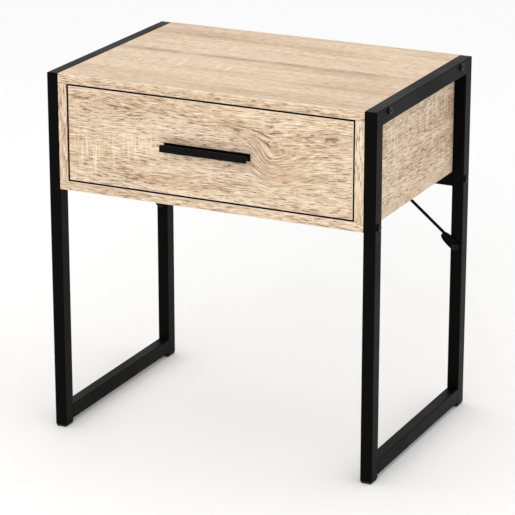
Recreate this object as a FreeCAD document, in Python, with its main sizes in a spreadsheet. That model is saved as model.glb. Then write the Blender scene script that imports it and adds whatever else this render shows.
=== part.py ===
"""Side table: two welded tube frames carry a wooden box with one drawer.

Millimetres, +X to the right, +Y to the back, +Z up. The origin is on the floor, under the middle
of the table with its drawer shut. Every size comes from the Dimensions sheet through expressions.
"""
import FreeCAD, Part
import math
import os
import re
import Sketcher

DIMENSIONS = (
    ("table_width", 566, "over the outer faces of the side frames"),
    ("table_depth", 388, "over the front and rear faces of the side frames"),
    ("table_height", 600, "floor to table top"),
    ("tube_width", 20, "tube section across the table"),
    ("tube_height", 25, "tube section in the plane of the side frame"),
    ("tube_wall", 1.5, "tube wall"),
    ("tube_radius", 2, "outer corner radius of the tube"),
    ("foot_height", 4, "plug head under each leg"),
    ("foot_inset", 1, "plug head edge inside the tube face"),
    ("foot_round", 1.5, "lower edge radius of the plug head"),
    ("plug_depth", 16, "plug stem inside the leg"),
    ("plug_clearance", 0.2, "plug fins to tube bore"),
    ("plug_stem_inset", 2.5, "plug stem to tube bore"),
    ("plug_fin", 1, "thickness of the plug's fins"),
    ("plug_fin_pitch", 5, "between the plug's fins"),
    ("rail_clearance", 8, "floor to the bottom rail"),
    ("box_height", 190, "over the top and bottom panels"),
    ("board", 15, "thickness of the laminated boards"),
    ("edge_chamfer", 0.8, "broken edges of the boards that show"),
    ("back_board", 3, "thickness of the hardboard sheets"),
    ("back_inset", 10, "rear face of the box to the back panel"),
    ("groove_depth", 5, "grooves that hold the hardboard sheets"),
    ("groove_play", 0.2, "groove width over the sheet"),
    ("drawer_gap", 3, "gap round the drawer front"),
    ("drawer_board", 12, "thickness of the drawer sides and back"),
    ("drawer_length", 350, "length of the drawer sides and the runners"),
    ("drawer_side_height", 105, "height of the drawer sides"),
    ("drawer_lift", 15, "bottom panel to the drawer sides"),
    ("bottom_lift", 10, "lower edge of the drawer sides to the drawer bottom"),
    ("runner_space", 12.5, "side panel to drawer side"),
    ("runner_sheet", 1.2, "thickness of the runner steel"),
    ("runner_setback", 2, "drawer front to the cabinet runner"),
    ("runner_channel", 24, "height of the cabinet runner"),
    ("runner_track", 19.2, "drawer runner's lower face to its track"),
    ("roller_radius", 9, "runner rollers"),
    ("roller_width", 6, "runner rollers"),
    ("roller_gap", 0.3, "clearance round a roller"),
    ("roller_front", 13, "front end of the cabinet runner to its roller"),
    ("roller_rear", 12, "rear end of the drawer runner to its roller"),
    ("journal_radius", 2.5, "roller pins"),
    ("journal_play", 0.05, "radial play of a roller on its pin"),
    ("collar_radius", 4, "shoulder and head of a roller pin"),
    ("drawer_travel", 260, "how far the drawer opens"),
    ("runner_top_lip", 7, "cabinet runner's upper flange"),
    ("runner_lip", 1, "cabinet runner's floor beyond the rollers"),
    ("pin_head", 0.8, "riveted heads of the roller pins"),
    ("stop_height", 3, "end stop on the cabinet runner"),
    ("stop_play", 0.8, "roller to end stop when the drawer is fully open"),
    ("handle_length", 148, "pull, along the table's width"),
    ("handle_height", 11, "pull flanges"),
    ("handle_projection", 19, "drawer front to the front of the pull"),
    ("handle_rear_flange", 3.5, "pull flange on the drawer front"),
    ("handle_front_flange", 5, "pull flange for the fingers"),
    ("handle_web", 2.8, "pull web between the flanges"),
    ("handle_round", 1.5, "front edges of the pull"),
    ("handle_screw_span", 128, "between the pull's two screws"),
    ("bolt_radius", 3, "M6 shanks"),
    ("bolt_hole_radius", 3.3, "clearance holes for M6"),
    ("bolt_head_radius", 6, "button heads"),
    ("bolt_head_height", 3.3, "button heads"),
    ("bolt_head_round", 2.4, "rounding of the button heads"),
    ("bolt_grip", 10, "thread inside an insert"),
    ("socket_flats", 4, "hexagon socket across flats"),
    ("socket_depth", 2, "hexagon socket"),
    ("insert_radius", 4.5, "threaded inserts and rivet nuts"),
    ("insert_length", 12, "threaded inserts and rivet nuts"),
    ("end_nut_length", 12, "threaded block inside the crossbar's ends"),
    ("top_bolt_offset", 47, "end of the top rail to its bolts"),
    ("strut_bolt_height", 283, "floor to the struts' lower bolts"),
    ("strut_bolt_reach", 132, "middle of the crossbar to the struts' upper bolts"),
    ("rod_radius", 2.5, "strut rod"),
    ("paddle_width", 17, "flattened strut end"),
    ("paddle_thickness", 2.5, "flattened strut end"),
    ("paddle_end", 9, "bolt axis to the end of the flattened part"),
    ("paddle_full", 13, "bolt axis to the start of the taper"),
    ("paddle_taper", 31, "bolt axis to the round rod"),
    ("paddle_round", 3, "corners of the flattened end"),
    ("rod_overlap", 2, "round rod inside each flattened end"),
    ("cam_radius", 7.5, "cam locks in the side panels"),
    ("cam_depth", 12.5, "cam locks in the side panels"),
    ("cam_distance", 24, "end of the side panel to the cam"),
    ("cam_front", 75, "face of the box to its cams and screws"),
    ("dowel_front", 105, "face of the box to its dowels"),
    ("dowel_radius", 4, "wooden dowels"),
    ("dowel_length", 30, "wooden dowels"),
    ("stud_radius", 2.5, "threaded end of a cam bolt"),
    ("stud_depth", 11, "cam bolts and dowels in the face of a board"),
    ("stem_radius", 3, "plain stem of a cam bolt"),
    ("stem_play", 0.4, "radial play round the stem"),
    ("neck_radius", 2, "neck behind the head of a cam bolt"),
    ("neck_length", 2.5, "neck and head of a cam bolt"),
    ("stud_end_play", 1, "head of a cam bolt to the cam's axis"),
    ("cut_margin", 1, "how far an open cut runs past the face"),
    ("cross_reach", 2.4, "half length of a screwdriver cross"),
    ("cross_arm", 0.5, "half width of a screwdriver cross"),
    ("cross_depth", 1, "screwdriver crosses"),
    ("edge_break", 0.5, "broken edges of dowels and rollers"),
    ("small_cam_radius", 6, "cam locks in the drawer sides"),
    ("small_cam_depth", 10.5, "cam locks in the drawer sides"),
    ("small_cam_distance", 20, "end of the drawer side to the cam"),
    ("wood_screw_radius", 2.5, "long screws into board edges"),
    ("wood_screw_head", 4, "heads of the long screws"),
    ("screw_head_height", 3, "flat heads of the long screws"),
    ("screw_tip", 4, "tapered ends of the screws"),
    ("wood_screw_length", 48, "bottom panel screws"),
    ("drawer_screw_length", 40, "drawer back screws"),
    ("runner_screw_radius", 1.9, "runner screws"),
    ("runner_screw_head", 3, "runner screws"),
    ("runner_screw_length", 10, "runner screws"),
    ("handle_screw_radius", 2, "M4 pull screws"),
    ("handle_screw_head", 4, "M4 pull screws"),
    ("handle_screw_crown", 2.8, "flat top of the M4 pull screws"),
    ("handle_screw_head_height", 2.5, "M4 pull screws"),
)
ALIASES = {alias for alias, size, use in DIMENSIONS}
SIDES = (("left", -1), ("right", 1))
CABINET_SCREW_OFFSETS = (40, 180, 255)
DRAWER_SCREW_OFFSETS = (40, 170, 290)
DRAWER_FITTING_HEIGHTS = (35, 82)
PADDLE_STEPS = 5
PLUG_FINS = 3
TOLERANCE = 0.01

# Places that many parts share, as formulas of the sheet's dimensions.
FRONT = "((handle_projection - table_depth) / 2)"
REAR = "((handle_projection + table_depth) / 2)"
OUTER = "(table_width / 2)"
INNER = "(table_width / 2 - tube_width)"
CABIN = "(table_width / 2 - tube_width - board)"
BOX_BOTTOM = "(table_height - box_height)"
CABIN_FLOOR = f"({BOX_BOTTOM} + board)"
CABIN_ROOF = "(table_height - board)"
CABIN_MIDDLE = "(table_height - box_height / 2)"
BACK = f"({FRONT} + board)"
DRAWER_OUTER = f"({CABIN} - runner_space)"
DRAWER_INNER = f"({DRAWER_OUTER} - drawer_board)"
DRAWER_END = f"({BACK} + drawer_length)"
DRAWER_FLOOR = f"({CABIN_FLOOR} + drawer_lift)"
DRAWER_TOP = f"({DRAWER_FLOOR} + drawer_side_height)"
TRACK = f"({DRAWER_FLOOR} - runner_sheet + runner_track)"
ROLLER_HEIGHT = f"({TRACK} - roller_gap - roller_radius)"
CHANNEL_FLOOR = f"({ROLLER_HEIGHT} - roller_radius - roller_gap)"
FRONT_ROLLER = f"({BACK} + runner_setback + roller_front)"
REAR_ROLLER = f"({DRAWER_END} - roller_rear)"
ROLLER_INNER = f"(({CABIN} + {DRAWER_OUTER} - roller_width) / 2)"
ROLLER_OUTER = f"({ROLLER_INNER} + roller_width)"
CROSSBAR_HEIGHT = f"({BOX_BOTTOM} - tube_height / 2)"
CROSSBAR_FRONT = f"({REAR} - tube_height)"
LEG_MIDDLE = "(table_width / 2 - tube_width / 2)"

doc = FreeCAD.newDocument("SideTable")
sheet = doc.addObject("Spreadsheet::Sheet", "Dimensions")
nodes = []


def fill_sheet():
    """Writes each driving dimension into its own row: name, value, use."""
    for row, (alias, size, use) in enumerate(DIMENSIONS, start=1):
        sheet.set(f"A{row}", alias)
        sheet.set(f"B{row}", str(size))
        sheet.setAlias(f"B{row}", alias)
        sheet.set(f"C{row}", use)
    doc.recompute()


def bound(formula):
    """The formula with the name of each dimension pointing at the sheet."""
    return re.sub(
        r"[a-z_]+",
        lambda word: f"Dimensions.{word.group()}" if word.group() in ALIASES else word.group(),
        str(formula),
    )


def bind(thing, **formulas):
    """Sets properties of a document object to formulas."""
    for name, formula in formulas.items():
        thing.setExpression(name, bound(formula))


def place(thing, x, y, z, rotation=None):
    """Binds an object's position to formulas, and turns it."""
    if rotation is not None:
        thing.Placement = FreeCAD.Placement(FreeCAD.Vector(), rotation)
    for axis, formula in zip("xyz", (x, y, z)):
        thing.setExpression(f"Placement.Base.{axis}", bound(formula))


# ---- sketches and features -------------------------------------------------------------------


def new_body(label, is_node=True):
    """An empty PartDesign body; a node is written out, a pattern for fasteners is not."""
    body = doc.addObject("PartDesign::Body", label)
    body.Label = label
    if is_node:
        nodes.append(body)
    return body


def new_sketch(body, plane, offset):
    """A sketch on one of the body's own planes, moved along +X, +Y or +Z by a formula."""
    sketch = body.newObject("Sketcher::SketchObject", "Sketch")
    support = next(f for f in body.Origin.OriginFeatures if f.Role == f"{plane}_Plane")
    sketch.AttachmentSupport = [(support, "")]
    sketch.MapMode = "FlatFace"
    sign = "-" if plane == "XZ" else ""
    sketch.setExpression("AttachmentOffset.Base.z", bound(f"{sign}({offset})"))
    return sketch


def dimension(sketch, kind, element, formula):
    """One driving dimension of a sketch, bound to a formula."""
    if kind == "Radius":
        constraint = Sketcher.Constraint(kind, element, 1.0)
    else:
        constraint = Sketcher.Constraint(kind, -1, 1, *element, 1.0)
    index = sketch.addConstraint(constraint)
    sketch.renameConstraint(index, f"size{index}")
    sketch.setExpression(f"Constraints.size{index}", bound(formula))


def draw_polygon(sketch, points):
    """A closed outline whose corners follow formulas."""
    first = sketch.GeometryCount
    count = len(points)
    ring = [Part.Circle(FreeCAD.Vector(), FreeCAD.Vector(0, 0, 1), 10).value(2 * math.pi * k / count)
            for k in range(count)]
    for k in range(count):
        sketch.addGeometry(Part.LineSegment(ring[k], ring[(k + 1) % count]), False)
    for k in range(count):
        sketch.addConstraint(
            Sketcher.Constraint("Coincident", first + k, 2, first + (k + 1) % count, 1)
        )
    for k, (across, up) in enumerate(points):
        dimension(sketch, "DistanceX", (first + k, 1), across)
        dimension(sketch, "DistanceY", (first + k, 1), up)


def draw_circle(sketch, across, up, radius):
    """A circle whose centre and radius follow formulas."""
    circle = Part.Circle(FreeCAD.Vector(1, 1, 0), FreeCAD.Vector(0, 0, 1), 1)
    index = sketch.addGeometry(circle, False)
    dimension(sketch, "DistanceX", (index, 3), across)
    dimension(sketch, "DistanceY", (index, 3), up)
    dimension(sketch, "Radius", index, radius)


def rectangle(across, up):
    """The corners of a rectangle between two pairs of formulas."""
    return [(across[0], up[0]), (across[1], up[0]), (across[1], up[1]), (across[0], up[1])]


def span(side, near, far):
    """The stretch between two distances from the middle, on the left (-1) or right (1) side."""
    return (near, far) if side > 0 else (f"-({far})", f"-({near})")


def add_pad(body, plane, start, end, points=(), circles=()):
    """Adds material along the plane's axis, from one formula to another."""
    sketch = new_sketch(body, plane, start)
    draw_shapes(sketch, points, circles)
    pad = body.newObject("PartDesign::Pad", "Pad")
    pad.Profile = sketch
    pad.Reversed = plane == "XZ"
    bind(pad, Length=f"({end}) - ({start})")
    doc.recompute()
    return pad


def cut_pocket(body, plane, start, end, points=(), circles=()):
    """Removes material along the plane's axis, and checks that some was there."""
    before = body.Tip.Shape.Volume
    sketch = new_sketch(body, plane, start)
    draw_shapes(sketch, points, circles)
    pocket = body.newObject("PartDesign::Pocket", "Pocket")
    pocket.Profile = sketch
    pocket.Reversed = plane != "XZ"
    bind(pocket, Length=f"({end}) - ({start})")
    doc.recompute()
    if not pocket.Shape.Volume < before - TOLERANCE:
        raise RuntimeError(f"a pocket in {body.Label} cuts nothing")
    return pocket


def draw_shapes(sketch, points, circles):
    """Draws one outline, if there is one, and any circles."""
    if points:
        draw_polygon(sketch, points)
    for circle in circles:
        draw_circle(sketch, *circle)


def soften(body, kind, picks, size, base=None):
    """A Fillet or Chamfer on the edges that picks accepts, given each edge and its body's box."""
    base = base or body.Tip
    box = base.Shape.BoundBox
    chosen = [f"Edge{k}" for k, edge in enumerate(base.Shape.Edges, 1) if picks(edge, box)]
    if not chosen:
        raise RuntimeError(f"no edges to soften in {body.Label}")
    feature = body.newObject(f"PartDesign::{kind}", kind)
    feature.Base = (base, chosen)
    bind(feature, **{"Radius" if kind == "Fillet" else "Size": size})
    doc.recompute()
    return feature


def runs_along(edge, axis):
    """True for a straight edge parallel to the axis named x, y or z."""
    if edge.Curve.TypeId != "Part::GeomLine":
        return False
    return abs(getattr(edge.tangentAt(edge.FirstParameter), axis)) > 0.999


def near(a, b):
    """True for two lengths that are the same within rounding."""
    return abs(a - b) < TOLERANCE


def turned(label, profile, is_node=False):
    """A turned piece about Z, from (radius, height) corners that start and end on the axis."""
    body = new_body(label, is_node)
    sketch = new_sketch(body, "XZ", "0")
    draw_polygon(sketch, profile)
    turn = body.newObject("PartDesign::Revolution", "Revolution")
    turn.Profile = sketch
    turn.ReferenceAxis = (sketch, ["V_Axis"])
    turn.Angle = 360
    doc.recompute()
    return body


def group(label, pattern, spots):
    """Copies of one pattern as separate solids of one node: (x, y, z, rotation) each."""
    copies = []
    for x, y, z, rotation in spots:
        copy = doc.addObject("App::Link", f"{label}_copy")
        copy.LinkedObject = pattern
        place(copy, x, y, z, rotation)
        copies.append(copy)
    compound = doc.addObject("Part::Compound", label)
    compound.Label = label
    compound.Links = copies
    nodes.append(compound)
    return compound


def single(label, pattern, x, y, z, rotation):
    """One copy of a pattern as a node of its own."""
    return group(label, pattern, [(x, y, z, rotation)])


def facing(side):
    """The turn that points a pattern's +Z outwards on the left or right side."""
    return FreeCAD.Rotation(FreeCAD.Vector(0, 0, 1), FreeCAD.Vector(side, 0, 0))


TO_FRONT = FreeCAD.Rotation(FreeCAD.Vector(0, 0, 1), FreeCAD.Vector(0, -1, 0))
TO_REAR = FreeCAD.Rotation(FreeCAD.Vector(0, 0, 1), FreeCAD.Vector(0, 1, 0))
UPRIGHT = FreeCAD.Rotation()
UPSIDE_DOWN = FreeCAD.Rotation(FreeCAD.Vector(1, 0, 0), 180)


# ---- the steel frame -------------------------------------------------------------------------


def tube(label, plane, length, across, up, rounded_ends=()):
    """A rectangular tube with rounded corners: length, across and up are pairs of formulas.

    rounded_ends names the ends, YMin or YMax, whose top edge is rounded like the corners.
    """
    axis = {"XY": "z", "XZ": "y", "YZ": "x"}[plane]
    body = new_body(label)
    add_pad(body, plane, *length, rectangle(across, up))

    def corner(edge, box):
        if runs_along(edge, axis):
            return True
        middle = edge.CenterOfMass
        ends = [near(middle.y, getattr(box, end)) for end in rounded_ends]
        return runs_along(edge, "x") and near(middle.z, box.ZMax) and any(ends)

    soften(body, "Fillet", corner, "tube_radius")
    bore_across = (f"{across[0]} + tube_wall", f"{across[1]} - tube_wall")
    bore_up = (f"{up[0]} + tube_wall", f"{up[1]} - tube_wall")
    cut_pocket(body, plane, *length, rectangle(bore_across, bore_up))
    return body


def side_frame(name, side):
    """Four tubes: two legs mitred to a top rail, and a bottom rail butted between them."""
    across = span(side, INNER, OUTER)
    top = "table_height"
    mitre_foot = "table_height - tube_height"
    legs = (("front", FRONT, f"{FRONT} + tube_height", "YMin"),
            ("rear", REAR, f"{REAR} - tube_height", "YMax"))
    for end, outside, inside, rounded in legs:
        depth = (outside, inside) if end == "front" else (inside, outside)
        leg = tube(f"{name}_{end}_leg", "XY", ("foot_height", top), across, depth, (rounded,))
        cut_pocket(leg, "YZ", *across, [(outside, top), (inside, top), (inside, mitre_foot)])
        if end == "front":
            bolt = (f"{FRONT} + tube_height / 2", f"{BOX_BOTTOM} + board / 2")
        else:
            bolt = (f"{CROSSBAR_FRONT} + tube_width / 2", CROSSBAR_HEIGHT)
            wall = (CROSSBAR_FRONT, f"{CROSSBAR_FRONT} + tube_wall")
            strut_hole = (f"{side} * {LEG_MIDDLE}", "strut_bolt_height", "insert_radius")
            cut_pocket(leg, "XZ", *wall, circles=[strut_hole])
        cut_pocket(leg, "YZ", *across, circles=[(*bolt, "bolt_hole_radius")])

    top_rail = tube(
        f"{name}_top_rail", "XZ", (FRONT, REAR), across, (mitre_foot, top), ("YMin", "YMax")
    )
    for end, outside, inside, rounded in legs:
        cut_pocket(
            top_rail, "YZ", *across, [(outside, top), (outside, mitre_foot), (inside, mitre_foot)]
        )
    holes = [(y, "table_height - board / 2", "bolt_hole_radius") for y in top_bolt_places()]
    cut_pocket(top_rail, "YZ", *across, circles=holes)

    butt = (f"{FRONT} + tube_height", f"{REAR} - tube_height")
    up = ("rail_clearance", "rail_clearance + tube_height")
    tube(f"{name}_bottom_rail", "XZ", butt, across, up)


def top_bolt_places():
    """Where the top rails' bolts are, front to back."""
    return (f"{FRONT} + top_bolt_offset", f"{REAR} - top_bolt_offset")


def foot_plugs():
    """A plastic plug in the lower end of each leg: a rounded head and a finned stem."""
    for name, side in SIDES:
        for end, start in (("front", FRONT), ("rear", f"{REAR} - tube_height")):
            body = new_body(f"{name}_{end}_foot")
            outer = span(side, f"{INNER} + foot_inset", f"{OUTER} - foot_inset")
            depth = (f"{start} + foot_inset", f"{start} + tube_height - foot_inset")
            add_pad(body, "XY", "0", "foot_height", rectangle(outer, depth))
            soften(body, "Fillet", lambda edge, box: near(edge.BoundBox.ZMin, 0), "foot_round")
            stages = [("plug_stem_inset", "0", "plug_depth")]
            stages += [("plug_clearance", f"{k} * plug_fin_pitch - plug_fin",
                        f"{k} * plug_fin_pitch") for k in range(1, PLUG_FINS + 1)]
            for inset, low, high in stages:
                x = span(side, f"{INNER} + tube_wall + {inset}", f"{OUTER} - tube_wall - {inset}")
                y = (f"{start} + tube_wall + {inset}",
                     f"{start} + tube_height - tube_wall - {inset}")
                add_pad(body, "XY", f"foot_height + {low}", f"foot_height + {high}",
                        rectangle(x, y))


def crossbar():
    """The tube between the rear legs, under the box, with holes for the struts' rivet nuts."""
    up = (f"{BOX_BOTTOM} - tube_height", BOX_BOTTOM)
    depth = (CROSSBAR_FRONT, f"{CROSSBAR_FRONT} + tube_width")
    body = tube("rear_crossbar", "YZ", (f"-{INNER}", INNER), depth, up)
    holes = [(f"{side} * strut_bolt_reach", CROSSBAR_HEIGHT, "insert_radius")
             for name, side in SIDES]
    cut_pocket(body, "XZ", CROSSBAR_FRONT, f"{CROSSBAR_FRONT} + tube_wall", circles=holes)


def crossbar_end_nuts():
    """Threaded blocks welded inside the crossbar's two ends."""
    depth = (f"{CROSSBAR_FRONT} + tube_wall", f"{CROSSBAR_FRONT} + tube_width - tube_wall")
    up = (f"{BOX_BOTTOM} - tube_height + tube_wall", f"{BOX_BOTTOM} - tube_wall")
    for name, side in SIDES:
        body = new_body(f"{name}_crossbar_end_nut")
        length = span(side, f"{INNER} - end_nut_length", INNER)
        add_pad(body, "YZ", *length, rectangle(depth, up))
        centre = (f"{CROSSBAR_FRONT} + tube_width / 2", CROSSBAR_HEIGHT)
        cut_pocket(body, "YZ", *length, circles=[(*centre, "bolt_radius")])


def struts():
    """A diagonal rod with flattened, drilled ends from each rear leg up to the crossbar.

    Each is drawn lying along +X from its lower bolt, then turned to its slope.
    """
    rise = f"({CROSSBAR_HEIGHT} - strut_bolt_height)"
    reach = f"({LEG_MIDDLE} - strut_bolt_reach)"
    length = f"sqrt({rise} ^ 2 + {reach} ^ 2)"
    paddle = paddle_outline()
    for name, side in SIDES:
        body = new_body(f"{name}_strut")
        rod = ("0", "-rod_radius", "rod_radius")
        add_pad(body, "YZ", "paddle_taper - rod_overlap",
                f"{length} - paddle_taper + rod_overlap", circles=[rod])
        thickness = ("-paddle_thickness", "0")
        add_pad(body, "XZ", *thickness, paddle)
        far = [(f"{length} - ({x})", z) for x, z in paddle]
        add_pad(body, "XZ", *thickness, far)
        soften(
            body, "Fillet",
            lambda edge, box: runs_along(edge, "y") and (
                near(edge.CenterOfMass.x, box.XMin) or near(edge.CenterOfMass.x, box.XMax)),
            "paddle_round",
        )
        bolts = [("0", "0", "bolt_hole_radius"), (length, "0", "bolt_hole_radius")]
        cut_pocket(body, "XZ", *thickness, circles=bolts)
        place(body, f"{side} * {LEG_MIDDLE}", CROSSBAR_FRONT, "strut_bolt_height")
        slope = f"atan({rise} / {reach})"
        turn = slope if side < 0 else f"180 deg - {slope}"
        body.Placement.Rotation = FreeCAD.Rotation(FreeCAD.Vector(0, -1, 0), 1)
        body.setExpression("Placement.Rotation.Angle", bound(turn))


def paddle_outline():
    """A flattened strut end around its bolt: square behind it, narrowing in an oval to the rod."""
    upper = [("-paddle_end", "paddle_width / 2")]
    for k in range(PADDLE_STEPS + 1):
        angle = 90 * k / PADDLE_STEPS
        upper.append((f"paddle_full + (paddle_taper - paddle_full) * sin({angle})",
                      f"rod_radius + (paddle_width / 2 - rod_radius) * cos({angle})"))
    return upper + [(x, f"-({z})") for x, z in reversed(upper)]


def frame_fasteners():
    """Button-head bolts, and the inserts and rivet nuts that they screw into."""
    through_tube = "tube_width + bolt_grip"
    frame_bolt = button_bolt("frame_bolt", through_tube)
    strut_bolt = button_bolt("strut_bolt", "paddle_thickness + bolt_grip")
    insert = turned("insert", [
        ("bolt_radius", "-insert_length"), ("insert_radius", "-insert_length"),
        ("insert_radius", "0"), ("bolt_radius", "0")])
    top_height = "table_height - board / 2"
    low_height = f"{BOX_BOTTOM} + board / 2"
    top_spots = [(side, y, top_height) for name, side in SIDES for y in top_bolt_places()]
    low_spots = [(side, f"{FRONT} + tube_height / 2", low_height) for name, side in SIDES]
    bar_spots = [(side, f"{CROSSBAR_FRONT} + tube_width / 2", CROSSBAR_HEIGHT)
                 for name, side in SIDES]
    for label, spots in (("top_rail_bolts", top_spots), ("front_leg_bolts", low_spots),
                         ("crossbar_bolts", bar_spots)):
        group(label, frame_bolt, [(f"{side} * {OUTER}", y, z, facing(side))
                                  for side, y, z in spots])
    group("panel_inserts", insert, [(f"{side} * {INNER}", y, z, facing(side))
                                    for side, y, z in top_spots + low_spots])
    strut_spots = [(f"{side} * {x}", z) for name, side in SIDES
                   for x, z in ((LEG_MIDDLE, "strut_bolt_height"),
                                ("strut_bolt_reach", CROSSBAR_HEIGHT))]
    group("strut_bolts", strut_bolt, [(x, f"{CROSSBAR_FRONT} - paddle_thickness", z, TO_FRONT)
                                      for x, z in strut_spots])
    group("strut_rivet_nuts", insert, [(x, CROSSBAR_FRONT, z, TO_FRONT) for x, z in strut_spots])


def button_bolt(label, shank):
    """A pattern: domed head on z = 0 upwards, hexagon socket, plain shank downwards."""
    body = turned(label, [
        ("0", f"-({shank})"), ("bolt_radius", f"-({shank})"), ("bolt_radius", "0"),
        ("bolt_head_radius", "0"), ("bolt_head_radius", "bolt_head_height"),
        ("0", "bolt_head_height")])
    soften(body, "Fillet", lambda edge, box: near(edge.BoundBox.ZMin, box.ZMax),
           "bolt_head_round")
    corners = [(f"socket_flats / sqrt(3) * cos({60 * k})", f"socket_flats / sqrt(3) * sin({60 * k})")
               for k in range(6)]
    cut_pocket(body, "XY", "bolt_head_height - socket_depth", "bolt_head_height + cut_margin",
               corners)
    return body


# ---- the wooden box --------------------------------------------------------------------------


def front_edges(edge, box):
    """The straight edges round a board's front face."""
    return near(edge.BoundBox.YMin, box.YMin) and near(edge.BoundBox.YMax, box.YMin)


def joint_places(offset):
    """Where the box's corner fittings are, front to back."""
    return (f"{FRONT} + {offset}", f"{REAR} - {offset}")


def panel_middle(side):
    """The middle of a side panel's thickness."""
    return f"{side} * ({CABIN} + board / 2)"


def back_groove(edge_margin="groove_play / 2"):
    """The groove for the back panel, from front to back."""
    rear = f"{REAR} - back_inset"
    return (f"{rear} - back_board - {edge_margin}", f"{rear} + {edge_margin}")


def box_panels():
    """Top and bottom panels, side panels between them, and a back panel in grooves."""
    across = (f"-{INNER}", INNER)
    depth = (FRONT, REAR)
    top = new_body("top_panel")
    add_pad(top, "XY", CABIN_ROOF, "table_height", rectangle(across, depth))
    bottom = new_body("bottom_panel")
    add_pad(bottom, "XY", BOX_BOTTOM, CABIN_FLOOR, rectangle(across, depth))
    for panel in (top, bottom):
        soften(panel, "Chamfer", lambda edge, box: front_edges(edge, box)
               and runs_along(edge, "x"), "edge_chamfer")

    cut_pocket(top, "XY", CABIN_ROOF, f"{CABIN_ROOF} + groove_depth",
               rectangle(across, back_groove()))
    cut_pocket(bottom, "XY", f"{CABIN_FLOOR} - groove_depth", CABIN_FLOOR,
               rectangle(across, back_groove()))
    studs = [(panel_middle(side), y, "stud_radius")
             for name, side in SIDES for y in joint_places("cam_front")]
    dowels = [(panel_middle(side), y, "dowel_radius")
              for name, side in SIDES for y in joint_places("dowel_front")]
    screws = [(x, y, "wood_screw_radius") for x, y, radius in studs]
    heads = [(x, y, "wood_screw_head") for x, y, radius in studs]
    cut_pocket(top, "XY", CABIN_ROOF, f"{CABIN_ROOF} + stud_depth", circles=studs)
    cut_pocket(top, "XY", CABIN_ROOF, f"{CABIN_ROOF} + stud_depth", circles=dowels)
    cut_pocket(bottom, "XY", f"{CABIN_FLOOR} - stud_depth", CABIN_FLOOR, circles=dowels)
    cut_pocket(bottom, "XY", BOX_BOTTOM, CABIN_FLOOR, circles=screws)
    cut_pocket(bottom, "XY", BOX_BOTTOM, f"{BOX_BOTTOM} + screw_head_height", circles=heads)
    for name, side in SIDES:
        edge = span(side, f"{INNER} - insert_length", INNER)
        spots = [(y, "table_height - board / 2", "insert_radius") for y in top_bolt_places()]
        cut_pocket(top, "YZ", *edge, circles=spots)
        low = (f"{FRONT} + tube_height / 2", f"{BOX_BOTTOM} + board / 2", "insert_radius")
        cut_pocket(bottom, "YZ", *edge, circles=[low])
        side_panel(name, side)

    back = new_body("back_panel")
    reach = f"({CABIN} + groove_depth - groove_play)"
    up = (f"{CABIN_FLOOR} - groove_depth + groove_play", f"{CABIN_ROOF} + groove_depth - groove_play")
    add_pad(back, "XZ", *back_groove("0"), rectangle((f"-{reach}", reach), up))


def side_panel(name, side):
    """A side panel: back groove, cam locks at the top, dowels, long screws from below."""
    body = new_body(f"{name}_side_panel")
    across = span(side, CABIN, INNER)
    add_pad(body, "XY", CABIN_FLOOR, CABIN_ROOF, rectangle(across, (FRONT, REAR)))
    groove = span(side, CABIN, f"{CABIN} + groove_depth")
    cut_pocket(body, "XY", CABIN_FLOOR, CABIN_ROOF, rectangle(groove, back_groove()))
    middle = panel_middle(side)
    cams = [(y, f"{CABIN_ROOF} - cam_distance", "cam_radius") for y in joint_places("cam_front")]
    cut_pocket(body, "YZ", *span(side, CABIN, f"{CABIN} + cam_depth"), circles=cams)
    stems = [(middle, y, "stem_radius + stem_play") for y in joint_places("cam_front")]
    cut_pocket(body, "XY", f"{CABIN_ROOF} - cam_distance", CABIN_ROOF, circles=stems)
    deep = "(dowel_length - stud_depth)"
    dowels = [(middle, y, "dowel_radius") for y in joint_places("dowel_front")]
    cut_pocket(body, "XY", f"{CABIN_ROOF} - {deep}", CABIN_ROOF, circles=dowels)
    cut_pocket(body, "XY", CABIN_FLOOR, f"{CABIN_FLOOR} + {deep}", circles=dowels)
    screws = [(middle, y, "wood_screw_radius") for y in joint_places("cam_front")]
    cut_pocket(body, "XY", CABIN_FLOOR, f"{CABIN_FLOOR} + wood_screw_length - board",
               circles=screws)
    pilots = [(y, z, "runner_screw_radius") for y, z in cabinet_screw_places()]
    cut_pocket(body, "YZ", *span(side, CABIN, f"{CABIN} + runner_screw_length - runner_sheet"),
               circles=pilots)


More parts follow.
